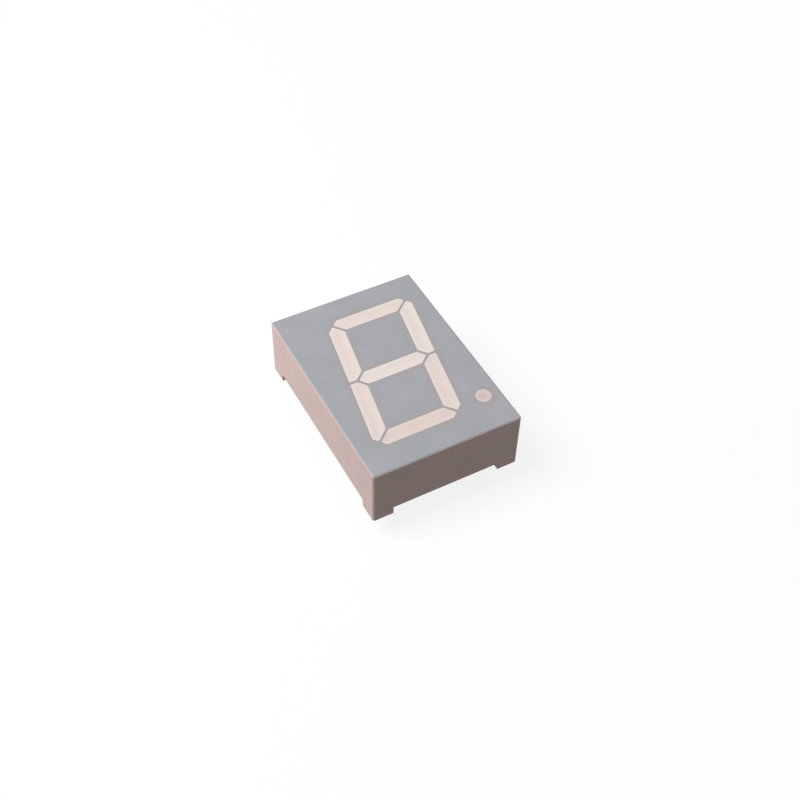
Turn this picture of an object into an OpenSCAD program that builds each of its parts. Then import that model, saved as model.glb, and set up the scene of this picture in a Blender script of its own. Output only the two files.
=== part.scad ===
// Single digit seven segment display of the one inch class, with a decimal point on the right.
// A moulded housing holds eight tapered light funnels that are filled with diffused resin.
// A circuit board with the chips closes the funnels behind, and resin seals it in around the pins.
// Origin: middle of the footprint, on the plane that the corner feet stand on.
// +X runs to the digit's right, +Y to its top and +Z out of its face. Sizes are in millimetres.

/* [Housing] */
// Width of the housing, from left to right
body_w = 24; // [22.5:0.5:32]
// Length of the housing, from the digit's base to its top
body_l = 34; // [31:0.5:44]
// Height of the face above the ground that the feet stand on
body_h = 10; // [9.5:0.1:13]
// Thickness of the four side walls
wall_t = 1; // [0.8:0.1:1.4]
// Thickness of the face plate
face_t = 1; // [0.6:0.1:2]
// Radius of the four upright edges
corner_r = 0.4; // [0.2:0.05:0.7]
// Radius of the edge around the face
face_edge_r = 0.3; // [0.1:0.05:0.5]

/* [Feet] */
// Height by which the feet lift the walls
foot_h = 1.35; // [0.6:0.05:2]
// Length of a foot along the front and back walls
foot_w = 3.3; // [2:0.1:6]
// Length of a foot along the side walls
foot_l = 3.3; // [2:0.1:6]

/* [Digit] */
// Height of the digit
digit_h = 25.4; // [22:0.1:27]
// Width of the digit before it is slanted
digit_w = 14.4; // [12:0.1:15]
// Width of each segment
seg_w = 2.5; // [2:0.1:3]
// Gap between neighbouring segments
seg_gap = 0.35; // [0.25:0.05:0.6]
// Angle by which the digit leans to the right, in degrees
slant = 10; // [0:1:12]
// Length that is clipped off both sides of each outer corner of the digit
corner_clip = 1.85; // [1.2:0.05:2.1]
// Radius of the segments' corners
seg_r = 0.25; // [0.1:0.05:0.35]
// Offset of the digit from the face's middle, to the right
digit_x = 0.2; // [-0.5:0.05:0.5]
// Offset of the digit from the face's middle, towards its top
digit_y = 0.1; // [-0.5:0.05:0.5]

/* [Decimal point] */
// Diameter of the decimal point
dp_d = 2.5; // [2:0.1:3]
// Distance from the digit's lower right corner to the point's middle
dp_reach = 4.1; // [3.6:0.1:4.5]
// Height of the point's middle over the digit's base line
dp_rise = 1.75; // [1.4:0.05:2.5]

/* [Light funnels] */
// Width of a funnel where it meets the circuit board
floor_w = 1.5; // [1.2:0.1:2]
// Thickness of a funnel's wall at the face
funnel_wall = 0.6; // [0.4:0.1:0.8]

/* [Circuit board] */
// Thickness of the circuit board
board_t = 1; // [0.6:0.1:1.2]
// Gap between the board's edge and the walls, which resin fills
board_gap = 0.15; // [0.1:0.05:0.3]
// Width of the stops that the board seats on
stop_w = 2; // [1:0.1:3]
// Distance by which a stop stands in from its wall
stop_reach = 0.7; // [0.5:0.1:1]
// Height of a stop
stop_h = 1.2; // [0.8:0.1:2]
// Distance of the side stops from the middle of the long walls
stop_y = 11; // [8:0.5:13]

/* [Chips] */
// Side of a square light-emitting chip
chip_w = 0.3; // [0.2:0.05:0.4]
// Height of a chip
chip_h = 0.2; // [0.15:0.05:0.3]
// Distance between the two chips of a segment
chip_pitch = 4.4; // [3:0.2:5]
// Diameter of a bond wire
wire_d = 0.04; // [0.03:0.01:0.06]
// Radius of a bond wire's loop
wire_r = 0.4; // [0.3:0.05:0.5]

/* [Pins] */
// Diameter of a pin's free end, with its coat of tin
pin_d = 0.5; // [0.4:0.05:0.6]
// Thickness of the coat of tin, into which the free ends are dipped
coat_t = 0.02; // [0.01:0.01:0.04]
// Distance from the resin's back to where the coat begins
coat_gap = 0.3; // [0.2:0.1:0.8]
// Length of the pins below the feet
pin_len = 4; // [2.5:0.5:6]
// Distance between neighbouring pins of a row
pin_pitch = 2.54; // [2.5:0.01:3]
// Number of pins in a row
pins_per_row = 5; // [3:1:5]
// Distance between the two rows of pins
row_pitch = 25.4; // [22.86:2.54:27.94]
// Length of the bevel at a pin's tip
tip_h = 0.15; // [0.05:0.05:0.2]
// Radial gap between a pin and its hole in the board
hole_gap = 0.05; // [0.02:0.01:0.1]
// Diameter of a solder joint on the board
solder_d = 1.5; // [1.2:0.1:1.8]
// Diameter of a solder joint at its end
solder_end_d = 0.7; // [0.65:0.05:0.9]
// Height of a solder joint
solder_h = 0.9; // [0.5:0.1:1]

/* [Potting resin] */
// Thickness of the resin behind the circuit board
resin_t = 1.55; // [1.2:0.05:1.8]
// Distance of the resin's back from the walls' lower edges
resin_inset = 0.3; // [0.1:0.05:0.5]

/* [Hidden] */
SEGMENTS = ["a", "b", "c", "d", "e", "f", "g"];
PINS = [for (n = [1:2 * pins_per_row]) n];

$fn = 48;
// Number of steps in the rounding of a segment's corner
corner_steps = 3;
// Length by which a cutter runs past what it cuts, and a joined shape into its neighbour
lap = 0.2;

inner_w = body_w - 2 * wall_t;
inner_l = body_l - 2 * wall_t;
resin_bottom = foot_h + resin_inset;
board_bottom = resin_bottom + resin_t;
board_top = board_bottom + board_t;
face_bottom = body_h - face_t;
funnel_h = body_h - board_top;
// Diameter of a pin's bare part, in the resin and in the board
core_d = pin_d - 2 * coat_t;

half_w = digit_w / 2;
half_h = digit_h / 2;
// Level width of the two side bars, which lean
side_w = seg_w / cos(slant);
// Sideways step from the middle of a mitre to a segment's edge
mitre_step = seg_gap / sqrt(2);
// Width and length that a funnel loses between face and board
funnel_loss = seg_w - floor_w;
dp_x = digit_x + half_w - half_h * tan(slant) + dp_reach;
dp_y = digit_y - half_h + dp_rise;

// A point of the upright digit, leaned over and set on the face
function lean(p) = [digit_x + p[0] + p[1] * tan(slant), digit_y + p[1]];

// Points of a list turned over to the left, or to the base, in the opposite order
function to_left(points) = [for (i = [len(points) - 1:-1:0]) [-points[i][0], points[i][1]]];
function to_base(points) = [for (i = [len(points) - 1:-1:0]) [points[i][0], -points[i][1]]];

// Right half of the top bar: inner corner, then both ends of the clipped outer corner
top_half = [
    [half_w - side_w - mitre_step, half_h - seg_w],
    [half_w - (corner_clip + side_w - seg_w + mitre_step) / 2,
        half_h - (corner_clip - side_w + seg_w - mitre_step) / 2],
    [half_w - corner_clip, half_h]
];
top_bar = concat(top_half, to_left(top_half));

// Right half of the middle bar, which ends in a point between the side bars
middle_half = [
    [half_w - side_w - mitre_step, -seg_w / 2],
    [half_w - side_w + seg_w / 2 - mitre_step, 0],
    [half_w - side_w - mitre_step, seg_w / 2]
];
middle_bar = concat(middle_half, to_left(middle_half));

// Upper right bar, from its lower inner corner round to its upper one
side_bar = [
    [half_w - side_w, seg_w / 2 + mitre_step],
    [half_w - side_w + seg_w / 2 - seg_gap / 2 + mitre_step, seg_gap / 2],
    [half_w, seg_gap / 2],
    [half_w, half_h - corner_clip],
    [half_w - (corner_clip + side_w - seg_w - mitre_step) / 2,
        half_h - (corner_clip - side_w + seg_w + mitre_step) / 2],
    [half_w - side_w, half_h - seg_w - mitre_step]
];

// Outline of a segment of the upright digit
function upright(s) =
    s == "a" ? top_bar :
    s == "b" ? side_bar :
    s == "c" ? to_base(side_bar) :
    s == "d" ? to_base(top_bar) :
    s == "e" ? to_left(to_base(side_bar)) :
    s == "f" ? to_left(side_bar) :
    middle_bar;
// Outline of a segment on the face, counter-clockwise
function outline(s) = [for (p = upright(s)) lean(p)];

// Outward direction of the edge that leaves point i of an outline
function edge_out(points, i) = let (
    edge = points[(i + 1) % len(points)] - points[i]
) [edge[1], -edge[0]] / norm(edge);

// Outline widened by margin, with its corners rounded
function ring(points, margin = 0) = [
    for (i = [0:len(points) - 1]) let (
        before = edge_out(points, (i + len(points) - 1) % len(points)),
        after = edge_out(points, i),
        centre = points[i] + (margin - seg_r) * (before + after) / (1 + before * after),
        start = atan2(before[1], before[0]),
        bend = acos(before * after)
    )
        for (k = [0:corner_steps]) let (angle = start + bend * k / corner_steps)
            centre + seg_r * [cos(angle), sin(angle)]
];

function is_level(s) = s == "a" || s == "d" || s == "g";
// Middle of a segment on the face
function middle(s) = lean(
    s == "g" ? [0, 0] :
    is_level(s) ? [0, (s == "a" ? 1 : -1) * (half_h - seg_w / 2)] :
    [(s == "b" || s == "c" ? 1 : -1) * (half_w - side_w / 2), (s == "b" || s == "f" ? 1 : -1) * half_h / 2]
);
// Angle of a segment's long axis to +X, and its length along that axis
function turn(s) = is_level(s) ? 0 : 90 - slant;
function seg_len(s) = is_level(s) ? digit_w - 2 * side_w : half_h - seg_w;
// A point of a segment's outline on the face, moved to where its funnel meets the board
function narrow(s, p) = let (
    along = [cos(turn(s)), sin(turn(s))],
    across = [-along[1], along[0]],
    reach = p - middle(s)
) p - (reach * along) * along * funnel_loss / seg_len(s) - (reach * across) * across * funnel_loss / seg_w;
// Places of a segment's chips along its long axis
chip_places = [-chip_pitch / 2, chip_pitch / 2];

// Place of a pin: the lower row counts to the right, the upper row back to the left
function pin_place(n) = let (
    lower = n <= pins_per_row,
    step = lower ? n - 1 : 2 * pins_per_row - n
) [(step - (pins_per_row - 1) / 2) * pin_pitch, (lower ? -1 : 1) * row_pitch / 2];

// Flat shapes

module rounded_rectangle(w, l, r) {
    square([w - 2 * r, l], center = true);
    square([w, l - 2 * r], center = true);
    for (x = [-1, 1], y = [-1, 1])
        translate([x * (w / 2 - r), y * (l / 2 - r)])
            circle(r = r);
}

// Inner space of a funnel, which narrows evenly from the face down to the board.
// With past set, both of its ends run straight on by that length.
module funnel(s, past = 0) {
    high = ring(outline(s));
    low = [for (p = high) narrow(s, p)];
    levels = past > 0 ?
        [[low, board_top - past], [low, board_top], [high, body_h], [high, body_h + past]] :
        [[low, board_top], [high, body_h]];
    count = len(high);
    last = (len(levels) - 1) * count;
    polyhedron(
        points = [for (level = levels) for (p = level[0]) [p[0], p[1], level[1]]],
        faces = [
            [for (i = [0:count - 1]) i],
            [for (i = [0:count - 1]) last + count - 1 - i],
            for (base = [0:count:last - count], i = [0:count - 1]) let (
                j = (i + 1) % count,
                a = base + i,
                b = base + j
            )
                each [[a, a + count, b + count], [a, b + count, b]]
        ]
    );
}

module dp_funnel(past = 0) {
    translate([dp_x, dp_y, board_top]) {
        cylinder(h = funnel_h, d1 = dp_d - funnel_loss, d2 = dp_d);
        if (past > 0) {
            translate([0, 0, -past])
                cylinder(h = past, d = dp_d - funnel_loss);
            translate([0, 0, funnel_h])
                cylinder(h = past, d = dp_d);
        }
    }
}

// Housing

// Walls of all funnels, from the board up into the face plate
module funnel_walls() {
    translate([0, 0, board_top])
        linear_extrude(face_bottom + lap - board_top) {
            for (s = SEGMENTS)
                polygon(ring(outline(s), funnel_wall));
            translate([dp_x, dp_y])
                circle(d = dp_d + 2 * funnel_wall);
        }
}

// Everything that is cut out of the face
module funnel_cuts() {
    for (s = SEGMENTS)
        funnel(s, lap);
    dp_funnel(lap);
}

// Small ledges on the inside of the walls, against which the board seats
module board_stops() {
    reach = stop_reach + lap;
    for (x = [-1, 1], y = [-1, 1])
        translate([x * (inner_w / 2 - stop_reach + reach / 2), y * stop_y, board_top + stop_h / 2])
            cube([reach, stop_w, stop_h], center = true);
    for (y = [-1, 1])
        translate([0, y * (inner_l / 2 - stop_reach + reach / 2), board_top + stop_h / 2])
            cube([stop_w, reach, stop_h], center = true);
}

// Cutter along one edge of the face: what lies outside the edge's radius
module edge_cut(length) {
    difference() {
        translate([-length / 2, 0, 0])
            cube([length, face_edge_r + lap, face_edge_r + lap]);
        rotate([0, 90, 0])
            cylinder(r = face_edge_r, h = length + 2 * lap, center = true);
    }
}

module face_edge_cuts() {
    for (side = [[0, body_w, body_l], [90, body_l, body_w], [180, body_w, body_l], [270, body_l, body_w]])
        rotate(side[0])
            translate([0, side[2] / 2 - face_edge_r, body_h - face_edge_r])
                edge_cut(side[1] + 2 * lap);
}

// The walls end above the ground between the feet
module wall_notches() {
    notch_h = foot_h + lap;
    translate([0, 0, foot_h - notch_h / 2]) {
        cube([body_w - 2 * foot_w, body_l + 2 * lap, notch_h], center = true);
        cube([body_w + 2 * lap, body_l - 2 * foot_l, notch_h], center = true);
    }
}

module housing() {
    color([0.80, 0.73, 0.71])
        difference() {
            union() {
                difference() {
                    linear_extrude(body_h)
                        rounded_rectangle(body_w, body_l, corner_r);
                    translate([-inner_w / 2, -inner_l / 2, -lap])
                        cube([inner_w, inner_l, face_bottom + lap]);
                }
                funnel_walls();
                board_stops();
            }
            funnel_cuts();
            face_edge_cuts();
            wall_notches();
        }
}

// Chips and bond wires, in a segment's own frame: +X along the segment, z = 0 on the board

module chip() {
    translate([0, 0, chip_h / 2])
        cube([chip_w, chip_w, chip_h], center = true);
}

// Wire that rises from the middle of its chip and lands on the board beside it
module bond_wire() {
    difference() {
        translate([wire_r, 0, 0])
            rotate([90, 0, 0])
                rotate_extrude(angle = 180)
                    translate([wire_r, 0])
                        circle(d = wire_d, $fn = 16);
        chip();
    }
}

module on_segment(s) {
    translate([middle(s)[0], middle(s)[1], board_top])
        rotate(turn(s))
            for (x = chip_places)
                translate([x, 0, 0])
                    children();
}

// The point's chip stands beside the middle, so that its wire's loop is central
module at_dp() {
    translate([dp_x - wire_r, dp_y, board_top])
        children();
}

module chips(s) {
    color([0.75, 0.72, 0.55])
        on_segment(s)
            chip();
}

module chip_dp() {
    color([0.75, 0.72, 0.55])
        at_dp()
            chip();
}

module wires(s) {
    color([0.85, 0.68, 0.30])
        on_segment(s)
            bond_wire();
}

module wire_dp() {
    color([0.85, 0.68, 0.30])
        at_dp()
            bond_wire();
}

// Diffused resin that fills a funnel and surrounds its chips and wires
module segment(s) {
    color([0.90, 0.85, 0.82])
        difference() {
            funnel(s);
            chips(s);
            wires(s);
        }
}

module decimal_point() {
    color([0.82, 0.76, 0.76])
        difference() {
            dp_funnel();
            chip_dp();
            wire_dp();
        }
}

// Circuit board, solder and pins

module circuit_board() {
    color([0.30, 0.45, 0.30])
        difference() {
            translate([0, 0, board_bottom + board_t / 2])
                cube([inner_w - 2 * board_gap, inner_l - 2 * board_gap, board_t], center = true);
            for (n = PINS)
                translate([pin_place(n)[0], pin_place(n)[1], board_bottom - lap])
                    cylinder(h = board_t + 2 * lap, d = core_d + 2 * hole_gap);
        }
}

// Straight pin with a bevelled tip, a little thicker where the tin coats it
module pin_shape(n) {
    coat_top = resin_bottom - coat_gap;
    translate([pin_place(n)[0], pin_place(n)[1], 0]) {
        translate([0, 0, tip_h - pin_len])
            cylinder(h = coat_top + pin_len - tip_h, d = pin_d);
        translate([0, 0, -pin_len])
            cylinder(h = tip_h, d1 = pin_d - 2 * tip_h, d2 = pin_d);
        translate([0, 0, coat_top])
            cylinder(h = board_top - coat_top, d = core_d);
    }
}

module pin(n) {
    color([0.78, 0.78, 0.80])
        pin_shape(n);
}

module solder_shape(n) {
    translate([pin_place(n)[0], pin_place(n)[1], board_bottom - solder_h])
        cylinder(h = solder_h, d1 = solder_end_d, d2 = solder_d);
}

module solder(n) {
    color([0.66, 0.67, 0.70])
        difference() {
            solder_shape(n);
            pin_shape(n);
        }
}

// Resin behind the board, which also fills the gap around the board's edge
module potting_resin() {
    color([0.80, 0.80, 0.76])
        difference() {
            translate([-inner_w / 2, -inner_l / 2, resin_bottom])
                cube([inner_w, inner_l, board_top - resin_bottom]);
            translate([0, 0, board_bottom + board_t])
                cube([inner_w - 2 * board_gap, inner_l - 2 * board_gap, 2 * board_t], center = true);
            for (n = PINS) {
                solder_shape(n);
                pin_shape(n);
            }
        }
}

housing();
for (s = SEGMENTS) {
    segment(s);
    chips(s);
    wires(s);
}
decimal_point();
chip_dp();
wire_dp();
circuit_board();
for (n = PINS) {
    pin(n);
    solder(n);
}
potting_resin();
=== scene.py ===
import math

import bmesh
import bpy
from mathutils import Matrix, Vector


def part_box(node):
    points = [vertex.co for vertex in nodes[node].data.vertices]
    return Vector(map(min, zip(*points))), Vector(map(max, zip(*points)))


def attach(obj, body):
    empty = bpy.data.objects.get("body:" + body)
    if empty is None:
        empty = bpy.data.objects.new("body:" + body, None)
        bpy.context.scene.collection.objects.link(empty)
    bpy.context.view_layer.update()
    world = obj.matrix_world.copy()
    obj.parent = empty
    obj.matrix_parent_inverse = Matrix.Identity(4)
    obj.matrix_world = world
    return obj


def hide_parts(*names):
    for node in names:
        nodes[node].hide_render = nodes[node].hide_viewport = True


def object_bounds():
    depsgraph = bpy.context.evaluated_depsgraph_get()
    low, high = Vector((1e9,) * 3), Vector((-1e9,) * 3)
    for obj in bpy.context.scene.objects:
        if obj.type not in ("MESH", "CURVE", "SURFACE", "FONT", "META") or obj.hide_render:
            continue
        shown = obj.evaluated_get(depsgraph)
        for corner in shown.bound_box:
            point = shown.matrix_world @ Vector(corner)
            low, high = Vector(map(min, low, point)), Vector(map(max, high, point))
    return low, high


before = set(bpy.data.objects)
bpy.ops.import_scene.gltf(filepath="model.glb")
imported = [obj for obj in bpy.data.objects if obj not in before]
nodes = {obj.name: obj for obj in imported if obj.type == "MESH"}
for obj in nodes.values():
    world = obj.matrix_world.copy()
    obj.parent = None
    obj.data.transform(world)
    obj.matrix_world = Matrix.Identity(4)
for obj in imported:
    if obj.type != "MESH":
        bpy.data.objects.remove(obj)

cad_low, cad_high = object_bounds()


# Housing.
# One piece moulded in pale, slightly pink thermoplastic. Grey ink is printed over its face, down to
# the rounded edge. Beside the segments the ink is painted warmer, a painted glow for the light that
# scatters through the plastic.

# In every section, EDGES are the noise values between which one tint turns into the other, GLOSS is
# the least roughness and what the grain adds to it, and BUMP is a strength and a depth. The ink ends
# INK_MARGIN inside the walls and FACE_DEPTH below the face. Its painted warm glow reaches WARM_REACH
# from the digit.
HOUSING_COLOUR = (0.574, 0.424, 0.392, 1)
HOUSING_SHADE = (0.528, 0.408, 0.368, 1)
HOUSING_PATCH = 0.0026
HOUSING_GRAIN = 0.00022
HOUSING_EDGES = (0.32, 0.68)
HOUSING_GLOSS = (0.44, 0.12)
HOUSING_SHINE = 0.3
HOUSING_BUMP = (0.35, 0.00002)
INK_VIOLET = (0.396, 0.388, 0.424, 1)
INK_TEAL = (0.358, 0.372, 0.394, 1)
INK_WARM_GLOW = (0.384, 0.356, 0.358, 1)
INK_PATCH = 0.0045
INK_SPECKLE = 0.0004
INK_SPECKLE_SHARE = 0.6
INK_EDGES = (0.35, 0.65)
INK_DULLER = 0.12
INK_MARGIN = 0.00006
INK_WAVER = 0.00005
INK_WAVES_PER_METRE = 900.0
INK_SHARPNESS = 30000.0
FACE_DEPTH = 0.0002
WARM_REACH = 0.0012
SLANT = math.radians(10)
DIGIT_HALF_WIDTH = 0.0072
CORNER_CLIP = 0.00185
PATCH_DETAIL = 3.0
GRAIN_DETAIL = 2.0
NOISE_MIDDLE = 0.5

housing_low, housing_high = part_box("housing")
face_z = housing_high.z
body_w = housing_high.x - housing_low.x
body_l = housing_high.y - housing_low.y


def new_material(name):
    """An empty material with a Principled shader, as (material, tree, shader)."""
    material = bpy.data.materials.new(name)
    material.use_nodes = True
    tree = material.node_tree
    tree.nodes.clear()
    output = tree.nodes.new("ShaderNodeOutputMaterial")
    shader = tree.nodes.new("ShaderNodeBsdfPrincipled")
    tree.links.new(shader.outputs["BSDF"], output.inputs["Surface"])
    return material, tree, shader


def add_node(tree, kind, inputs, **settings):
    """A node with its settings. Its inputs go by name or number, and each takes a socket or a value."""
    node = tree.nodes.new(kind)
    for label, value in settings.items():
        setattr(node, label, value)
    for key, value in inputs.items():
        if isinstance(value, bpy.types.NodeSocket):
            tree.links.new(value, node.inputs[key])
        else:
            node.inputs[key].default_value = value
    return node


def math_node(tree, operation, *operands, clamp=False):
    """The result of one Math node. Each operand is a socket or a number."""
    inputs = dict(enumerate(operands))
    return add_node(tree, "ShaderNodeMath", inputs, operation=operation, use_clamp=clamp).outputs[0]


def mix_colours(tree, factor, first, second, mode="MIX"):
    """Mixes two colours by factor. Each is a socket or a value."""
    # The Mix node's colours go by number: 6 and 7 in, 2 out. Their names stand for other kinds too.
    inputs = {0: factor, 6: first, 7: second}
    return add_node(tree, "ShaderNodeMix", inputs, data_type="RGBA", blend_type=mode).outputs[2]


def contrast(tree, value, edges):
    """Stretches a value so that the two edges become 0 and 1."""
    inputs = {"Value": value, "From Min": edges[0], "From Max": edges[1]}
    return add_node(tree, "ShaderNodeMapRange", inputs).outputs["Result"]


def object_place(tree):
    """Where a point of the surface lies, in the object's frame."""
    return tree.nodes.new("ShaderNodeTexCoord").outputs["Object"]


def group_tree(name, inputs, outputs):
    """A shader node group with named numbers in and out, as (tree, input, output)."""
    tree = bpy.data.node_groups.new(name, "ShaderNodeTree")
    for label, value in inputs.items():
        socket = tree.interface.new_socket(name=label, in_out="INPUT", socket_type="NodeSocketFloat")
        socket.default_value = value
    for label in outputs:
        tree.interface.new_socket(name=label, in_out="OUTPUT", socket_type="NodeSocketFloat")
    return tree, tree.nodes.new("NodeGroupInput"), tree.nodes.new("NodeGroupOutput")


def add_group(tree, group, inputs):
    """Places a node group in a material with its own values, and returns its outputs."""
    node = tree.nodes.new("ShaderNodeGroup")
    node.node_tree = group
    for label, value in inputs.items():
        node.inputs[label].default_value = value
    return node.outputs


def make_mottle():
    """Group: soft patches and fine grain, for colour, gloss and bump of moulded and cast surfaces."""
    sizes = {"Patch Size": HOUSING_PATCH, "Grain Size": HOUSING_GRAIN}
    tree, given, result = group_tree("mottle", sizes, ["Patches", "Grain"])
    place = object_place(tree)
    for size, detail, label in (
        ("Patch Size", PATCH_DETAIL, "Patches"),
        ("Grain Size", GRAIN_DETAIL, "Grain"),
    ):
        scale = math_node(tree, "DIVIDE", 1.0, given.outputs[size])
        noise = add_node(tree, "ShaderNodeTexNoise", {"Vector": place, "Scale": scale, "Detail": detail})
        tree.links.new(noise.outputs["Fac"], result.inputs[label])
    return tree


mottle = make_mottle()


def add_mottle(tree, patch_size, grain_size):
    """Places the mottle group in a material and returns its patches and grain."""
    outputs = add_group(tree, mottle, {"Patch Size": patch_size, "Grain Size": grain_size})
    return outputs["Patches"], outputs["Grain"]


def specks_of(tree, grain, share):
    """Noise as a small value above and below zero."""
    return math_node(tree, "MULTIPLY", math_node(tree, "SUBTRACT", grain, NOISE_MIDDLE), share)


def roughness_of(tree, grain, gloss):
    """Roughness that rises with the grain."""
    least, added = gloss
    return math_node(tree, "MULTIPLY_ADD", grain, added, least)


def set_surface(tree, shader, colour, roughness, height, bump):
    """Feeds the shader its colour, its roughness and a bump of the given height."""
    strength, depth = bump
    inputs = {"Strength": strength, "Distance": depth, "Height": height}
    normal = add_node(tree, "ShaderNodeBump", inputs).outputs["Normal"]
    tree.links.new(colour, shader.inputs["Base Color"])
    tree.links.new(roughness, shader.inputs["Roughness"])
    tree.links.new(normal, shader.inputs["Normal"])


def make_ink_mask():
    """Group: 1 on the printed part of the face and 0 on bare plastic, with a slightly wavering edge."""
    tree, given, result = group_tree("ink_mask", {
        "Half Width": body_w / 2,
        "Half Length": body_l / 2,
        "Height": face_z,
        "Waver": INK_WAVER,
    }, ["Mask"])
    place = object_place(tree)
    x, y, z = add_node(tree, "ShaderNodeSeparateXYZ", {0: place}).outputs
    noise = add_node(tree, "ShaderNodeTexNoise", {"Vector": place, "Scale": INK_WAVES_PER_METRE})
    waver = specks_of(tree, noise.outputs["Fac"], given.outputs["Waver"])
    inside_x = math_node(tree, "SUBTRACT", given.outputs["Half Width"], math_node(tree, "ABSOLUTE", x))
    inside_y = math_node(tree, "SUBTRACT", given.outputs["Half Length"], math_node(tree, "ABSOLUTE", y))
    inside = math_node(tree, "ADD", math_node(tree, "MINIMUM", inside_x, inside_y), waver)
    printed = math_node(tree, "MULTIPLY", inside, INK_SHARPNESS, clamp=True)
    high = math_node(tree, "GREATER_THAN", z, given.outputs["Height"])
    tree.links.new(math_node(tree, "MULTIPLY", printed, high), result.inputs["Mask"])
    return tree


def make_nearness():
    """Group: 1 on the figure eight of the digit and on the point, down to 0 at a distance of Reach."""
    tree, given, result = group_tree("digit_nearness", {"Reach": WARM_REACH}, ["Nearness"])
    top, base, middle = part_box("segment_a"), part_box("segment_d"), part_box("segment_g")
    bar = top[1].y - top[0].y
    half_height = (top[1].y - base[0].y) / 2
    centre_x, centre_y = (middle[0].x + middle[1].x) / 2, (top[1].y + base[0].y) / 2
    place = object_place(tree)
    x, y = add_node(tree, "ShaderNodeSeparateXYZ", {0: place}).outputs[:2]
    x = math_node(tree, "SUBTRACT", x, centre_x)
    y = math_node(tree, "SUBTRACT", y, centre_y)
    lean = math_node(tree, "MULTIPLY", y, math.tan(SLANT))
    across = math_node(tree, "ABSOLUTE", math_node(tree, "SUBTRACT", x, lean))
    up = math_node(tree, "ABSOLUTE", y)

    # How far a point lies outside the digit, whose corners are clipped.
    past_side = math_node(tree, "SUBTRACT", across, DIGIT_HALF_WIDTH)
    past_end = math_node(tree, "SUBTRACT", up, half_height)
    clip_at = DIGIT_HALF_WIDTH + half_height - CORNER_CLIP
    past_clip = math_node(tree, "SUBTRACT", math_node(tree, "ADD", across, up), clip_at)
    past_clip = math_node(tree, "MULTIPLY", past_clip, math.sqrt(0.5))
    outside = math_node(tree, "MAXIMUM", math_node(tree, "MAXIMUM", past_side, past_end), past_clip)

    # How far it lies inside one of the two holes of the figure eight, between its bars.
    hole_half_width = DIGIT_HALF_WIDTH - bar
    hole_half_height = (half_height - bar - bar / 2) / 2
    hole_level = (half_height - bar / 2) / 2
    from_level = math_node(tree, "ABSOLUTE", math_node(tree, "SUBTRACT", up, hole_level))
    from_side = math_node(tree, "SUBTRACT", hole_half_width, across)
    from_end = math_node(tree, "SUBTRACT", hole_half_height, from_level)
    in_hole = math_node(tree, "MINIMUM", from_side, from_end)

    point_low, point_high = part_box("decimal_point")
    point_centre = ((point_low.x + point_high.x) / 2, (point_low.y + point_high.y) / 2, point_high.z)
    inputs = {0: place, 1: point_centre}
    from_point = add_node(tree, "ShaderNodeVectorMath", inputs, operation="DISTANCE").outputs["Value"]
    from_point = math_node(tree, "SUBTRACT", from_point, (point_high.x - point_low.x) / 2)
    distance = math_node(tree, "MINIMUM", math_node(tree, "MAXIMUM", outside, in_hole), from_point)
    fall = math_node(tree, "DIVIDE", distance, given.outputs["Reach"])
    tree.links.new(math_node(tree, "SUBTRACT", 1.0, fall, clamp=True), result.inputs["Nearness"])
    return tree


def make_housing_material():
    """Pale moulded plastic with a satin grain, under grey ink on the face, with a painted warm glow by the
    digit.
    """
    material, tree, shader = new_material("housing_plastic_and_ink")
    patches, grain = add_mottle(tree, HOUSING_PATCH, HOUSING_GRAIN)
    plastic = mix_colours(tree, contrast(tree, patches, HOUSING_EDGES), HOUSING_SHADE, HOUSING_COLOUR)
    blotches, speckle = add_mottle(tree, INK_PATCH, INK_SPECKLE)
    tint = math_node(tree, "ADD", blotches, specks_of(tree, speckle, INK_SPECKLE_SHARE))
    ink = mix_colours(tree, contrast(tree, tint, INK_EDGES), INK_TEAL, INK_VIOLET)
    # Painted light: near the digit the ink turns warm, for light scattered through the plastic.
    nearness = add_group(tree, make_nearness(), {"Reach": WARM_REACH})["Nearness"]
    ink = mix_colours(tree, nearness, ink, INK_WARM_GLOW)
    printed = add_group(tree, make_ink_mask(), {
        "Half Width": body_w / 2 - INK_MARGIN,
        "Half Length": body_l / 2 - INK_MARGIN,
        "Height": face_z - FACE_DEPTH,
        "Waver": INK_WAVER,
    })["Mask"]
    colour = mix_colours(tree, printed, plastic, ink)
    duller = math_node(tree, "MULTIPLY", printed, INK_DULLER)
    roughness = math_node(tree, "ADD", roughness_of(tree, grain, HOUSING_GLOSS), duller)
    shader.inputs["Specular IOR Level"].default_value = HOUSING_SHINE
    set_surface(tree, shader, colour, roughness, grain, HOUSING_BUMP)
    return material


def dress(name, material):
    """Gives a CAD node its material."""
    node = nodes[name]
    node.data.materials.clear()
    node.data.materials.append(material)


dress("housing", make_housing_material())


# Segments and decimal point.
# Diffused epoxy, cast into the funnels of the housing. It shrinks a little as it cures, so its edge
# rounds off along the funnel's mouth. Near the edge its colour is painted lighter and in the middle
# darker, for the light that the white funnel wall throws back where the resin is thin. The point's
# colours are painted darker still, for shade in its smaller funnel.

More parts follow.
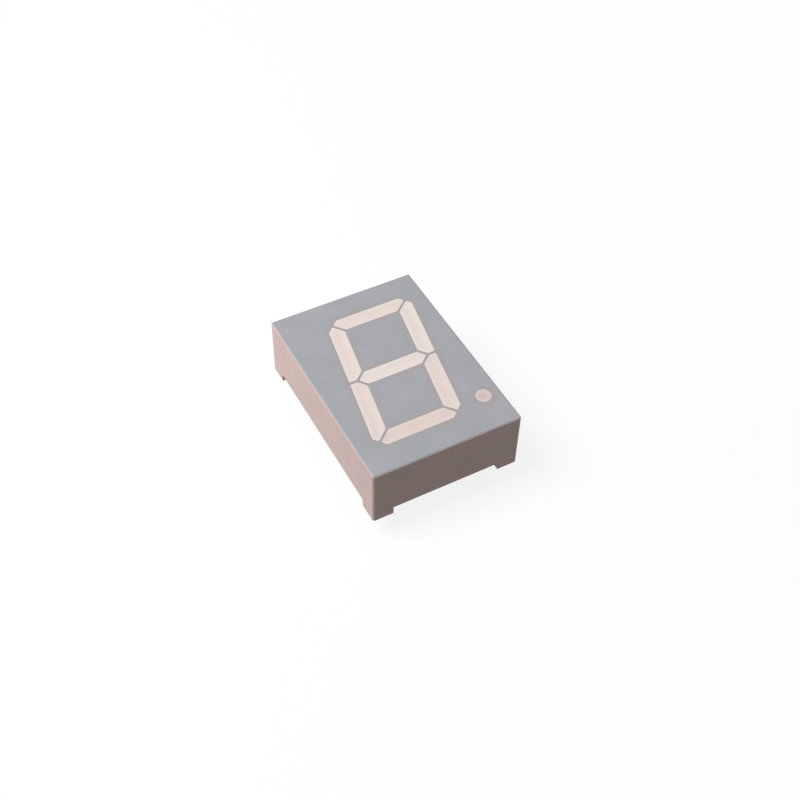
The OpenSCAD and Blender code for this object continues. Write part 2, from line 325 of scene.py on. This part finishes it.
# The rim's painted light fades over RIM_REACH, a share of the way to the middle line of a fill.
# SCATTER_REACH is for red, green and blue light. Points closer than SAME_POINT are one, and heights
# closer than SAME_LEVEL are the same. FLAT_NORMAL and SMOOTH_NORMAL are the least upward part of a
# face's normal where the face counts as level, and where it is shaded smooth.
RESIN_LIT_RIM = (0.84, 0.742, 0.718, 1)
RESIN_MIDDLE = (0.785, 0.68, 0.64, 1)
RESIN_TINT = (0.81, 0.72, 0.645, 1)
RESIN_ROSY = (0.93, 0.89, 0.88, 1)
RESIN_PATCH = 0.0022
RESIN_GRAIN = 0.00018
RESIN_SPECKS = 1.2
RESIN_EDGES = (0.38, 0.72)
RESIN_GLOSS = (0.30, 0.1)
RESIN_BUMP = (0.25, 0.00003)
RIM_REACH = 0.6
RIM_EDGES = (-0.1, 1.1)
SCATTER_SHARE = 0.15
SCATTER_REACH = (0.0012, 0.0009, 0.0007)
# Each fill is made darker and rosier by its tone, most at the bottom segment and least at the middle one.
SEGMENT_TONES = {"a": 0.3, "b": 0.1, "c": 0.5, "d": 1.0, "e": 0.5, "f": 0.3, "g": 0.0}
# Painted shade: the point's colours are darker and pinker than the segments', for shade in its smaller
# funnel.
POINT_SHADED_RIM = (0.71, 0.60, 0.61, 1)
POINT_SHADED_MIDDLE = (0.62, 0.505, 0.485, 1)
EDGE_ROUND = 0.00007
EDGE_STEPS = 4
DISH_RINGS = (0.15, 0.3, 0.5, 0.75, 0.92)
DISH_DEPTH = 0.00004
SAME_POINT = 0.000001
SAME_LEVEL = 0.00001
FLAT_NORMAL = 0.99
FACET_ANGLE = math.radians(0.5)
SMOOTH_NORMAL = 0.2


def attribute(tree, name):
    """A number stored on the mesh."""
    return add_node(tree, "ShaderNodeAttribute", {}, attribute_name=name).outputs["Fac"]


def make_resin_material(name, rim, middle, tint):
    """Milky epoxy in faint patches of a warmer tint, with painted light along its rim. Each fill's tone
    makes it darker and rosier.
    """
    material, tree, shader = new_material(name)
    patches, grain = add_mottle(tree, RESIN_PATCH, RESIN_GRAIN)
    specks = specks_of(tree, grain, RESIN_SPECKS)
    speckled = math_node(tree, "ADD", patches, specks)
    body = mix_colours(tree, contrast(tree, speckled, RESIN_EDGES), middle, tint)
    # Painted light: the colour turns lighter from the middle out to the rim.
    inward = contrast(tree, attribute(tree, "inward"), (0.0, RIM_REACH))
    inward = contrast(tree, math_node(tree, "ADD", inward, specks), RIM_EDGES)
    colour = mix_colours(tree, inward, rim, body)
    colour = mix_colours(tree, attribute(tree, "tone"), colour, RESIN_ROSY, mode="MULTIPLY")
    shader.inputs["Subsurface Weight"].default_value = SCATTER_SHARE
    shader.inputs["Subsurface Radius"].default_value = SCATTER_REACH
    shader.inputs["Subsurface Scale"].default_value = 1.0
    set_surface(tree, shader, colour, roughness_of(tree, grain, RESIN_GLOSS), patches, RESIN_BUMP)
    return material


def merged_copy(name):
    """A bmesh of a CAD node, merged, with its flat faces whole again."""
    mesh = bmesh.new()
    mesh.from_mesh(nodes[name].data)
    bmesh.ops.remove_doubles(mesh, verts=mesh.verts, dist=SAME_POINT)
    bmesh.ops.dissolve_limit(mesh, angle_limit=FACET_ANGLE, verts=mesh.verts, edges=mesh.edges)
    return mesh


def is_level(place, height):
    """Whether a point lies at a height."""
    return abs(place.z - height) < SAME_LEVEL


def face_on_top(mesh, top):
    """The face that lies level at the given height."""
    flat = [f for f in mesh.faces if f.normal.z > FLAT_NORMAL and is_level(f.calc_center_median(), top)]
    return max(flat, key=lambda f: f.calc_area())


def spine_of(outline):
    """Middle line of a bar: the point on it nearest to each point of the bar's outline."""
    count = len(outline)
    edges = [outline[(i + 1) % count] - outline[i] for i in range(count)]
    along = max(edges, key=lambda e: e.length).normalized()
    across = Vector((-along.y, along.x, 0))
    reach = [p.dot(along) for p in outline]
    width = [p.dot(across) for p in outline]
    half_width = (max(width) - min(width)) / 2
    middle = (max(width) + min(width)) / 2
    first, last = min(reach) + half_width, max(reach) - half_width
    if last < first:
        first = last = (first + last) / 2
    lift = Vector((0, 0, outline[0].z))
    return [along * min(max(p.dot(along), first), last) + across * middle + lift for p in outline]


def bridge(mesh, ring, fresh):
    """Joins two rings of points with a band of faces."""
    for i in range(len(ring)):
        j = (i + 1) % len(ring)
        mesh.faces.new((ring[i], ring[j], fresh[j], fresh[i]))


def set_in_place(mesh, name, material, node):
    """Makes a finished bmesh a piece of the scene, in place of a CAD node."""
    made = bpy.data.meshes.new(name)
    mesh.to_mesh(made)
    mesh.free()
    made.materials.append(material)
    piece = bpy.data.objects.new(name, made)
    bpy.context.collection.objects.link(piece)
    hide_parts(node)
    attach(piece, "root")


def cast_resin(name, material, shade=0.0):
    """A funnel's fill with a rounded edge and a shallow dish, in place of the plain CAD solid."""
    mesh = merged_copy(name)
    inward = mesh.verts.layers.float.new("inward")
    tone = mesh.verts.layers.float.new("tone")
    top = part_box(name)[1].z
    lid = face_on_top(mesh, top)
    ring = list(lid.verts)
    outline = [v.co.copy() for v in ring]
    spine = spine_of(outline)
    mesh.faces.remove(lid)
    for vert in ring:
        vert.co.z = top - EDGE_ROUND

    # A row's distance from the edge, its share of the way to the spine, and its drop below the top.
    rows = []
    for step in range(1, EDGE_STEPS + 1):
        angle = math.pi / 2 * step / EDGE_STEPS
        rows.append((EDGE_ROUND * (1 - math.cos(angle)), 0.0, EDGE_ROUND * (1 - math.sin(angle))))
    rows += [(EDGE_ROUND, share, DISH_DEPTH * share) for share in DISH_RINGS]
    for step_in, share, drop in rows:
        fresh = []
        for start, centre in zip(outline, spine):
            place = start + (centre - start).normalized() * step_in
            place = place.lerp(centre, share)
            place.z = top - drop
            vert = mesh.verts.new(place)
            vert[inward] = share
            fresh.append(vert)
        bridge(mesh, ring, fresh)
        ring = fresh
    mesh.faces.new(ring)
    for vert in mesh.verts:
        vert[tone] = shade
    bmesh.ops.recalc_face_normals(mesh, faces=mesh.faces)
    for face in mesh.faces:
        face.smooth = face.normal.z > SMOOTH_NORMAL
    set_in_place(mesh, name + "_cast", material, name)


segment_material = make_resin_material("diffused_resin", RESIN_LIT_RIM, RESIN_MIDDLE, RESIN_TINT)
for letter, shade in SEGMENT_TONES.items():
    cast_resin("segment_" + letter, segment_material, shade)
# The point's resin holds painted shade, with the same painted light along its rim.
point_material = make_resin_material("point_resin", POINT_SHADED_RIM, POINT_SHADED_MIDDLE, POINT_SHADED_MIDDLE)
cast_resin("decimal_point", point_material)


# Circuit board.
# Glass fibre laminate under a green lacquer. It carries the chips and closes the funnels behind.

# BOARD_ROUGH_EDGES are the values of the grain for a roughness of 0 and of 1.
BOARD_LACQUER = (0.055, 0.16, 0.07, 1)
BOARD_GLASS = (0.09, 0.21, 0.10, 1)
BOARD_PATCH = 0.003
BOARD_GRAIN = 0.0001
BOARD_ROUGH_EDGES = (-1.0, 2.5)
BOARD_BUMP = (0.2, 0.00001)
WEAVES_PER_METRE = 1400.0


def make_board_material():
    """Green lacquer over a faint glass weave."""
    material, tree, shader = new_material("board_lacquer")
    inputs = {"Vector": object_place(tree), "Scale": WEAVES_PER_METRE}
    weave = add_node(tree, "ShaderNodeTexChecker", inputs).outputs["Fac"]
    patches, grain = add_mottle(tree, BOARD_PATCH, BOARD_GRAIN)
    share = math_node(tree, "MULTIPLY", weave, patches)
    colour = mix_colours(tree, share, BOARD_LACQUER, BOARD_GLASS)
    set_surface(tree, shader, colour, contrast(tree, grain, BOARD_ROUGH_EDGES), grain, BOARD_BUMP)
    return material


dress("circuit_board", make_board_material())


# Chips and bond wires.
# Small crystals glued to the board, each with one gold wire from its top to the board beside it.

# The SMALL values serve the chips and the wires. The solder shares their EDGES and their BUMP.
CHIP_FACE = (0.42, 0.36, 0.20, 1)
CHIP_EDGE = (0.25, 0.21, 0.12, 1)
CHIP_GRAIN = 0.00004
GOLD = (0.83, 0.58, 0.24, 1)
GOLD_DARK = (0.68, 0.44, 0.17, 1)
GOLD_GRAIN = 0.00003
SMALL_PATCH = 0.0002
SMALL_EDGES = (0.3, 0.7)
SMALL_GLOSS = (0.2, 0.15)
SMALL_BUMP = (0.2, 0.00001)


def make_grained_material(name, first, second, metallic, gloss, patch_size, grain_size):
    """Two close colours in soft patches, with a fine grain in gloss and bump."""
    material, tree, shader = new_material(name)
    patches, grain = add_mottle(tree, patch_size, grain_size)
    colour = mix_colours(tree, contrast(tree, patches, SMALL_EDGES), first, second)
    shader.inputs["Metallic"].default_value = metallic
    set_surface(tree, shader, colour, roughness_of(tree, grain, gloss), grain, SMALL_BUMP)
    return material


chip_material = make_grained_material(
    "chip_crystal", CHIP_EDGE, CHIP_FACE, 0.0, SMALL_GLOSS, SMALL_PATCH, CHIP_GRAIN
)
gold_material = make_grained_material(
    "gold_wire", GOLD_DARK, GOLD, 1.0, SMALL_GLOSS, SMALL_PATCH, GOLD_GRAIN
)
for letter in SEGMENT_TONES:
    dress("chips_" + letter, chip_material)
    dress("wires_" + letter, gold_material)
dress("chip_dp", chip_material)
dress("wire_dp", gold_material)


# Solder joints.
# Soft solder around each pin behind the board. The resin covers it.

TIN_BRIGHT = (0.78, 0.78, 0.79, 1)
TIN_DULL = (0.62, 0.62, 0.64, 1)
SOLDER_PATCH = 0.0005
SOLDER_GRAIN = 0.00008
SOLDER_GLOSS = (0.3, 0.15)
PIN_COUNT = 10

solder_material = make_grained_material(
    "soft_solder", TIN_DULL, TIN_BRIGHT, 1.0, SOLDER_GLOSS, SOLDER_PATCH, SOLDER_GRAIN
)
for number in range(1, PIN_COUNT + 1):
    dress("solder_%d" % number, solder_material)


# Pins.
# Two rows of round wire, pushed through the board. Their free ends were dipped in tin, so the coat
# runs a little uneven and starts just behind the resin. The cut tips are rounded off.

# COAT_START is the height at which the coat begins, and COAT_MIDDLE the noise at which it has its
# radius. COAT_RAGGED is the grain's share in its edge. TIP_SHARE is the radius left at the tip.
COAT_START = 0.00135
COAT_FADE = 0.00025
COAT_RADIUS = 0.00025
BARE_RADIUS = 0.00023
COAT_UNEVEN = 0.000012
COAT_WAVES_PER_METRE = 1500.0
COAT_MIDDLE = 0.65
COAT_SEED = 3
LEVEL_ONLY = (1, 1, 0)
COAT_RAGGED = 0.5
COAT_EDGES = (0.55, 0.85)
TIP_LENGTH = 0.00015
TIP_SHARE = 0.4
TIP_CROWDING = 2.0
PIN_ROWS = 2
PIN_STEPS = 60
PIN_SIDES = 20
BARE_WIRE = (0.60, 0.42, 0.31, 1)
TIN_PATCH = 0.0009
TIN_GRAIN = 0.00006
TIN_EDGES = (0.3, 0.7)
TIN_GLOSS = (0.2, 0.18)
TIN_BUMP = (0.25, 0.00001)

first_low, first_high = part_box("pin_1")
next_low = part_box("pin_2")[0]
last_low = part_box("pin_%d" % PIN_COUNT)[0]


def make_wire_material():
    """Tin with soft dull patches, over copper wire that shows where the coat ends."""
    material, tree, shader = new_material("tinned_wire")
    patches, grain = add_mottle(tree, TIN_PATCH, TIN_GRAIN)
    tin = mix_colours(tree, contrast(tree, patches, TIN_EDGES), TIN_DULL, TIN_BRIGHT)
    coated = math_node(tree, "MULTIPLY_ADD", grain, COAT_RAGGED, attribute(tree, "coated"))
    colour = mix_colours(tree, contrast(tree, coated, COAT_EDGES), BARE_WIRE, tin)
    shader.inputs["Metallic"].default_value = 1.0
    set_surface(tree, shader, colour, roughness_of(tree, grain, TIN_GLOSS), grain, TIN_BUMP)
    return material


def geometry_tree(name, inputs):
    """A Geometry Nodes tree with named inputs by kind and one geometry output, as (tree, input, output)."""
    tree = bpy.data.node_groups.new(name, "GeometryNodeTree")
    tree.interface.new_socket(name="Geometry", in_out="OUTPUT", socket_type="NodeSocketGeometry")
    for kind, labels in inputs.items():
        for label in labels:
            tree.interface.new_socket(name=label, in_out="INPUT", socket_type=kind)
    return tree, tree.nodes.new("NodeGroupInput"), tree.nodes.new("NodeGroupOutput")


def upright(tree, height):
    """A point above or below the origin."""
    return add_node(tree, "ShaderNodeCombineXYZ", {"Z": height}).outputs[0]


def pin_line(tree, size):
    """The middle line of a pin. Its points crowd towards the tip, where the outline turns."""
    ends = {"Start": upright(tree, size["Top"]), "End": upright(tree, size["Tip"])}
    line = add_node(tree, "GeometryNodeCurvePrimitiveLine", ends).outputs["Curve"]
    inputs = {"Curve": line, "Count": size["Steps"]}
    line = add_node(tree, "GeometryNodeResampleCurve", inputs).outputs["Curve"]
    along = tree.nodes.new("GeometryNodeSplineParameter").outputs["Factor"]
    left = math_node(tree, "POWER", math_node(tree, "SUBTRACT", 1.0, along), TIP_CROWDING)
    length = math_node(tree, "SUBTRACT", size["Top"], size["Tip"])
    height = math_node(tree, "MULTIPLY_ADD", left, length, size["Tip"])
    inputs = {"Geometry": line, "Position": upright(tree, height)}
    return add_node(tree, "GeometryNodeSetPosition", inputs).outputs["Geometry"]


def pin_wire(tree, size):
    """A pin's wire. The coat thickens it below its start, and the tip rounds in as part of an ellipse."""
    place = tree.nodes.new("GeometryNodeInputPosition").outputs["Position"]
    height = add_node(tree, "ShaderNodeSeparateXYZ", {0: place}).outputs["Z"]
    below = math_node(tree, "SUBTRACT", size["Coat Start"], height)
    coated = math_node(tree, "DIVIDE", below, size["Coat Fade"], clamp=True)
    coat = math_node(tree, "SUBTRACT", size["Coat Radius"], size["Bare Radius"])
    radius = math_node(tree, "MULTIPLY_ADD", coat, coated, size["Bare Radius"])
    from_tip = math_node(tree, "SUBTRACT", height, size["Tip"])
    from_tip = math_node(tree, "DIVIDE", from_tip, size["Tip Length"], clamp=True)
    inward = math_node(tree, "POWER", math_node(tree, "SUBTRACT", 1.0, from_tip), 2.0)
    bulge = math_node(tree, "SQRT", math_node(tree, "SUBTRACT", 1.0, inward))
    beyond = math_node(tree, "SUBTRACT", 1.0, size["Tip Share"])
    share = math_node(tree, "MULTIPLY_ADD", bulge, beyond, size["Tip Share"])
    radius = math_node(tree, "MULTIPLY", radius, share)
    inputs = {"Geometry": pin_line(tree, size), "Name": "coated", "Value": coated}
    line = add_node(tree, "GeometryNodeStoreNamedAttribute", inputs, data_type="FLOAT", domain="POINT")
    inputs = {"Radius": 1.0, "Resolution": size["Sides"]}
    profile = add_node(tree, "GeometryNodeCurvePrimitiveCircle", inputs)
    return add_node(tree, "GeometryNodeCurveToMesh", {
        "Curve": line.outputs["Geometry"],
        "Profile Curve": profile.outputs["Curve"],
        "Scale": radius,
        "Fill Caps": True,
    }).outputs["Mesh"]


def pin_grid(tree, size):
    """The places of the pins, in two rows."""
    gaps = math_node(tree, "SUBTRACT", size["Pins per Row"], 1.0)
    return add_node(tree, "GeometryNodeMeshGrid", {
        "Vertices X": size["Pins per Row"],
        "Vertices Y": PIN_ROWS,
        "Size X": math_node(tree, "MULTIPLY", gaps, size["Pitch"]),
        "Size Y": size["Row Pitch"],
    }).outputs["Mesh"]


def coat_waver(tree, size):
    """How far the dipped coat runs out or in, level, at each point. It differs from pin to pin."""
    inputs = {"Scale": COAT_WAVES_PER_METRE, "W": size["Seed"]}
    noise = add_node(tree, "ShaderNodeTexNoise", inputs, noise_dimensions="4D").outputs["Fac"]
    waver = math_node(tree, "SUBTRACT", noise, COAT_MIDDLE)
    waver = math_node(tree, "MULTIPLY", waver, size["Coat Unevenness"])
    coated = add_node(tree, "GeometryNodeInputNamedAttribute", {"Name": "coated"}, data_type="FLOAT")
    waver = math_node(tree, "MULTIPLY", waver, coated.outputs["Attribute"])
    outwards = tree.nodes.new("GeometryNodeInputNormal").outputs["Normal"]
    push = add_node(tree, "ShaderNodeVectorMath", {0: outwards, "Scale": waver}, operation="SCALE")
    inputs = {0: push.outputs["Vector"], 1: LEVEL_ONLY}
    return add_node(tree, "ShaderNodeVectorMath", inputs, operation="MULTIPLY").outputs["Vector"]


def make_pin_tree():
    """One pin's wire, set on a grid of two rows, with a coat that runs uneven."""
    tree, given, result = geometry_tree("pin_rows", {
        "NodeSocketInt": ("Pins per Row", "Steps", "Sides", "Seed"),
        "NodeSocketFloat": (
            "Pitch", "Row Pitch", "Top", "Tip", "Tip Length", "Tip Share", "Bare Radius",
            "Coat Radius", "Coat Start", "Coat Fade", "Coat Unevenness",
        ),
        "NodeSocketMaterial": ("Finish",),
    })
    size = given.outputs
    inputs = {"Points": pin_grid(tree, size), "Instance": pin_wire(tree, size)}
    rows = add_node(tree, "GeometryNodeInstanceOnPoints", inputs)
    real = add_node(tree, "GeometryNodeRealizeInstances", {"Geometry": rows.outputs["Instances"]})
    inputs = {"Geometry": real.outputs["Geometry"], "Offset": coat_waver(tree, size)}
    coat = add_node(tree, "GeometryNodeSetPosition", inputs)
    smooth = add_node(tree, "GeometryNodeSetShadeSmooth", {"Geometry": coat.outputs["Geometry"]})
    inputs = {"Geometry": smooth.outputs["Geometry"], "Material": size["Finish"]}
    finish = add_node(tree, "GeometryNodeSetMaterial", inputs)
    tree.links.new(finish.outputs["Geometry"], result.inputs["Geometry"])
    return tree


def grow(name, tree, values):
    """The plain mesh that a Geometry Nodes tree makes from named values, as an object."""
    seedling = bpy.data.objects.new(name + "_tree", bpy.data.meshes.new(name + "_tree"))
    bpy.context.collection.objects.link(seedling)
    modifier = seedling.modifiers.new(name, "NODES")
    modifier.node_group = tree
    for item in tree.interface.items_tree:
        if item.item_type == "SOCKET" and item.in_out == "INPUT":
            modifier[item.identifier] = values[item.name]
    bpy.context.view_layer.update()
    evaluated = seedling.evaluated_get(bpy.context.evaluated_depsgraph_get())
    grown = bpy.data.meshes.new_from_object(evaluated)
    grown.name = name
    bpy.data.objects.remove(seedling)
    piece = bpy.data.objects.new(name, grown)
    bpy.context.collection.objects.link(piece)
    return piece


pins = grow("pins", make_pin_tree(), {
    "Pins per Row": PIN_COUNT // PIN_ROWS,
    "Pitch": next_low.x - first_low.x,
    "Row Pitch": last_low.y - first_low.y,
    "Top": first_high.z,
    "Tip": first_low.z,
    "Tip Length": TIP_LENGTH,
    "Tip Share": TIP_SHARE,
    "Bare Radius": BARE_RADIUS,
    "Coat Radius": COAT_RADIUS,
    "Coat Start": COAT_START,
    "Coat Fade": COAT_FADE,
    "Coat Unevenness": COAT_UNEVEN,
    "Steps": PIN_STEPS,
    "Sides": PIN_SIDES,
    "Seed": COAT_SEED,
    "Finish": make_wire_material(),
})
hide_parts(*["pin_%d" % number for number in range(1, PIN_COUNT + 1)])
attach(pins, "root")


# Potting resin.
# Milky epoxy, poured in behind the board up to just inside the walls' edges. Before it set it crept
# up the walls and the pins. The green board shimmers through it, and a few bubbles left small pits.

# ORANGE_PEEL is the height of the soft waves, where a pit is 1 deep. PIT_EDGES are shares of the
# spacing. RINGS are distances from a wall or a pin. BACK_NORMAL is as SMOOTH_NORMAL, but downwards.
POTTING = (0.52, 0.50, 0.44, 1)
POTTING_GREEN = (0.40, 0.43, 0.33, 1)
POTTING_PATCH = 0.004
POTTING_GRAIN = 0.0003
POTTING_EDGES = (0.35, 0.65)
POTTING_GLOSS = (0.16, 0.12)
POTTING_BUMP = (0.5, 0.00003)
ORANGE_PEEL = 1.5
PIT_SPACING = 0.0026
PIT_EDGES = (0.02, 0.09)
WALL_CREEP = 0.00018
WALL_CREEP_REACH = 0.0004
WALL_RINGS = (0.00008, 0.00018, 0.0003, 0.00048, 0.00075, 0.0012)
WALL_SPACING = 0.0008
PIN_CREEP = 0.00014
PIN_CREEP_REACH = 0.00018
PIN_RINGS = (0.00004, 0.00009, 0.00016, 0.00025, 0.0004, 0.0006)
BACK_NORMAL = -0.3


def make_potting_material():
    """Milky epoxy with soft green patches, a faint orange peel and a few pits."""
    material, tree, shader = new_material("potting_epoxy")
    patches, grain = add_mottle(tree, POTTING_PATCH, POTTING_GRAIN)
    colour = mix_colours(tree, contrast(tree, patches, POTTING_EDGES), POTTING_GREEN, POTTING)
    inputs = {"Vector": object_place(tree), "Scale": 1 / PIT_SPACING}
    cells = add_node(tree, "ShaderNodeTexVoronoi", inputs).outputs["Distance"]
    height = math_node(tree, "MULTIPLY_ADD", patches, ORANGE_PEEL, contrast(tree, cells, PIT_EDGES))
    set_surface(tree, shader, colour, roughness_of(tree, grain, POTTING_GLOSS), height, POTTING_BUMP)
    return material


def is_at_wall(place, low, high):
    """Whether a point lies on the outline of the resin, against a wall."""
    return min(place.x - low.x, high.x - place.x, place.y - low.y, high.y - place.y) < SAME_LEVEL


def open_edges(mesh, height):
    """The edges that removed faces left open at a height."""
    return [e for e in mesh.edges if e.is_boundary and all(is_level(v.co, height) for v in e.verts)]


def edge_loops(edges):
    """Sorts boundary edges into closed loops of points."""
    partners = {}
    for edge in edges:
        for vert, other in (edge.verts, reversed(edge.verts)):
            partners.setdefault(vert, []).append(other)
    loops, done = [], set()
    for start in partners:
        if start in done:
            continue
        loop, here = [], start
        while here is not None:
            loop.append(here)
            done.add(here)
            here = next((v for v in partners[here] if v not in done), None)
        loops.append(loop)
    return loops


def creep(distance, rise, reach):
    """Height by which the resin stands proud at a distance from what it crept up."""
    return rise * math.exp(-distance / reach)


def off_wall(start, distance, low, high):
    """A point of the outline, moved inwards from the walls."""
    return Vector((
        min(max(start.x, low.x + distance), high.x - distance),
        min(max(start.y, low.y + distance), high.y - distance),
        0,
    ))


def off_pin(start, distance, centre):
    """A point round a pin, moved outwards from it."""
    return start + (start - centre).normalized() * distance


def pour_resin():
    """The resin with a back that creeps up the walls and the pins, in place of the flat CAD solid."""
    mesh = merged_copy("potting_resin")
    low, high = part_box("potting_resin")
    back = low.z
    flat = [f for f in mesh.faces if f.normal.z < -FLAT_NORMAL and is_level(f.calc_center_median(), back)]
    bmesh.ops.delete(mesh, geom=flat, context="FACES_ONLY")
    bmesh.ops.delete(mesh, geom=[e for e in mesh.edges if not e.link_faces], context="EDGES")
    for side in open_edges(mesh, back):
        cuts = round(side.calc_length() / WALL_SPACING) - 1
        if cuts > 0 and all(is_at_wall(v.co, low, high) for v in side.verts):
            bmesh.ops.subdivide_edges(mesh, edges=[side], cuts=cuts)
    for ring in edge_loops(open_edges(mesh, back)):
        centre = sum((v.co for v in ring), Vector()) / len(ring)
        starts = [v.co.copy() for v in ring]
        wall = is_at_wall(ring[0].co, low, high)
        rise, reach = (WALL_CREEP, WALL_CREEP_REACH) if wall else (PIN_CREEP, PIN_CREEP_REACH)
        for vert in ring:
            vert.co.z = back - rise
        for distance in WALL_RINGS if wall else PIN_RINGS:
            fresh = []
            for start in starts:
                place = off_wall(start, distance, low, high) if wall else off_pin(start, distance, centre)
                place.z = back - creep(distance, rise, reach)
                fresh.append(mesh.verts.new(place))
            bridge(mesh, ring, fresh)
            ring = fresh
    bmesh.ops.remove_doubles(mesh, verts=mesh.verts, dist=SAME_POINT)
    left_open = [e for e in mesh.edges if e.is_boundary]
    bmesh.ops.triangle_fill(mesh, use_beauty=True, edges=left_open, normal=(0, 0, -1))
    bmesh.ops.recalc_face_normals(mesh, faces=mesh.faces)
    for face in mesh.faces:
        face.smooth = face.normal.z < BACK_NORMAL and face.calc_center_median().z < back + SAME_LEVEL
    set_in_place(mesh, "potting", make_potting_material(), "potting_resin")


pour_resin()


# Studio.
# A white floor under the pins' tips, a large soft lamp above on the left, a small one low at the back
# on the left, and a pale surround.

# The floor throws light back to the object as FLOOR_COLOUR. It is seen as FLOOR_SEEN_COLOUR with its
# shadow, mixed with white by FLOOR_GLOW, and turns plain white between the two REACH values.
FLOOR_SIZE = 1.6
FLOOR_COLOUR = (0.26, 0.26, 0.26, 1)
FLOOR_SEEN_COLOUR = (0.95, 0.95, 0.95, 1)
FLOOR_ROUGHNESS = 0.9
FLOOR_GLOW = 0.85
FLOOR_SHADOW_REACH = 0.06
FLOOR_WHITE_REACH = 0.2
WORLD_LIGHT = 0.22
KEY_FROM = Vector((-0.62, 0.14, 1.04))
KEY_SIZE = 0.6
KEY_WATTS = 13.75
SIDE_FROM = Vector((-0.10, 0.10, 0.02))
SIDE_SIZE = 0.04
SIDE_WATTS = 0.0725


def background_rays(tree):
    """1 for rays that show the background: to the camera, off gloss and through glass. Otherwise 0."""
    path = tree.nodes.new("ShaderNodeLightPath").outputs
    seen = math_node(tree, "MAXIMUM", path["Is Camera Ray"], path["Is Glossy Ray"])
    return math_node(tree, "MAXIMUM", seen, path["Is Transmission Ray"])


def make_floor_material():
    """Grey to the lamps, white to the camera with a soft shadow near the object, and clear from below."""
    material, tree, shader = new_material("floor_white")
    output = shader.outputs["BSDF"].links[0].to_node
    seen = background_rays(tree)
    tree.links.new(mix_colours(tree, seen, FLOOR_COLOUR, FLOOR_SEEN_COLOUR), shader.inputs["Base Color"])
    shader.inputs["Roughness"].default_value = FLOOR_ROUGHNESS
    shader.inputs["Specular IOR Level"].default_value = 0.0
    away = add_node(tree, "ShaderNodeVectorMath", {0: object_place(tree)}, operation="LENGTH")
    far = contrast(tree, away.outputs["Value"], (FLOOR_SHADOW_REACH, FLOOR_WHITE_REACH))
    glow_share = math_node(tree, "MULTIPLY_ADD", far, 1 - FLOOR_GLOW, FLOOR_GLOW)
    glow = tree.nodes.new("ShaderNodeEmission")
    top = add_node(tree, "ShaderNodeMixShader", {
        0: math_node(tree, "MULTIPLY", seen, glow_share),
        1: shader.outputs["BSDF"],
        2: glow.outputs[0],
    })
    one_sided = add_node(tree, "ShaderNodeMixShader", {
        0: tree.nodes.new("ShaderNodeNewGeometry").outputs["Backfacing"],
        1: top.outputs[0],
        2: tree.nodes.new("ShaderNodeBsdfTransparent").outputs[0],
    })
    tree.links.new(one_sided.outputs[0], output.inputs["Surface"])
    return material


def make_floor():
    """A level sheet under the whole view."""
    half, level = FLOOR_SIZE / 2, cad_low.z
    corners = [(-half, -half, level), (half, -half, level), (half, half, level), (-half, half, level)]
    mesh = bpy.data.meshes.new("floor")
    mesh.from_pydata(corners, [], [(0, 1, 2, 3)])
    mesh.materials.append(make_floor_material())
    floor = bpy.data.objects.new("floor", mesh)
    bpy.context.collection.objects.link(floor)


def make_surround():
    """Even pale light from all round. The camera and reflections see it as white."""
    world = bpy.data.worlds.new("surround")
    bpy.context.scene.world = world
    world.use_nodes = True
    tree = world.node_tree
    tree.nodes.clear()
    inputs = {"Value": background_rays(tree), "To Min": WORLD_LIGHT, "To Max": 1.0}
    strength = add_node(tree, "ShaderNodeMapRange", inputs).outputs["Result"]
    back = add_node(tree, "ShaderNodeBackground", {"Color": (1, 1, 1, 1), "Strength": strength})
    add_node(tree, "ShaderNodeOutputWorld", {"Surface": back.outputs["Background"]})


def make_lamp(name, place, size, watts, glints):
    """A square lamp that faces the object. Without glints it leaves no bright spot on glossy faces."""
    data = bpy.data.lights.new(name, "AREA")
    data.size = size
    data.energy = watts
    lamp = bpy.data.objects.new(name, data)
    bpy.context.collection.objects.link(lamp)
    lamp.location = place
    lamp.rotation_mode = "QUATERNION"
    lamp.rotation_quaternion = (-place).to_track_quat("-Z", "Y")
    lamp.visible_glossy = glints


make_floor()
make_surround()
make_lamp("key", KEY_FROM, KEY_SIZE, KEY_WATTS, glints=True)
make_lamp("side", SIDE_FROM, SIDE_SIZE, SIDE_WATTS, glints=False)


# Camera.
# It stands where the picture was taken from: before the digit's base, to the left and well above.

# SENSOR and LENS are in millimetres, as Blender takes them.
SENSOR = 36.0
LENS = 56.12
NEAREST_SEEN = 0.001
CAMERA_FROM_FACE = Vector((-0.06071, -0.11040, 0.13463))
VIEW_AZIMUTH = math.radians(-29.38)
VIEW_ELEVATION = math.radians(48.35)
VIEW_ROLL = math.radians(1.49)


def make_camera():
    """The camera of the picture, with its direction given as angles round the object."""
    data = bpy.data.cameras.new("camera")
    data.sensor_width = SENSOR
    data.lens = LENS
    data.clip_start = NEAREST_SEEN
    camera = bpy.data.objects.new("camera", data)
    bpy.context.collection.objects.link(camera)
    level = math.cos(VIEW_ELEVATION)
    back = Vector((
        math.sin(VIEW_AZIMUTH) * level, -math.cos(VIEW_AZIMUTH) * level, math.sin(VIEW_ELEVATION)
    ))
    camera.matrix_world = (
        Matrix.Translation(Vector((0, 0, face_z)) + CAMERA_FROM_FACE)
        @ back.to_track_quat("Z", "Y").to_matrix().to_4x4()
        @ Matrix.Rotation(VIEW_ROLL, 4, "Z")
    )
    bpy.context.scene.camera = camera


make_camera()
bpy.context.scene.view_settings.view_transform = "Standard"
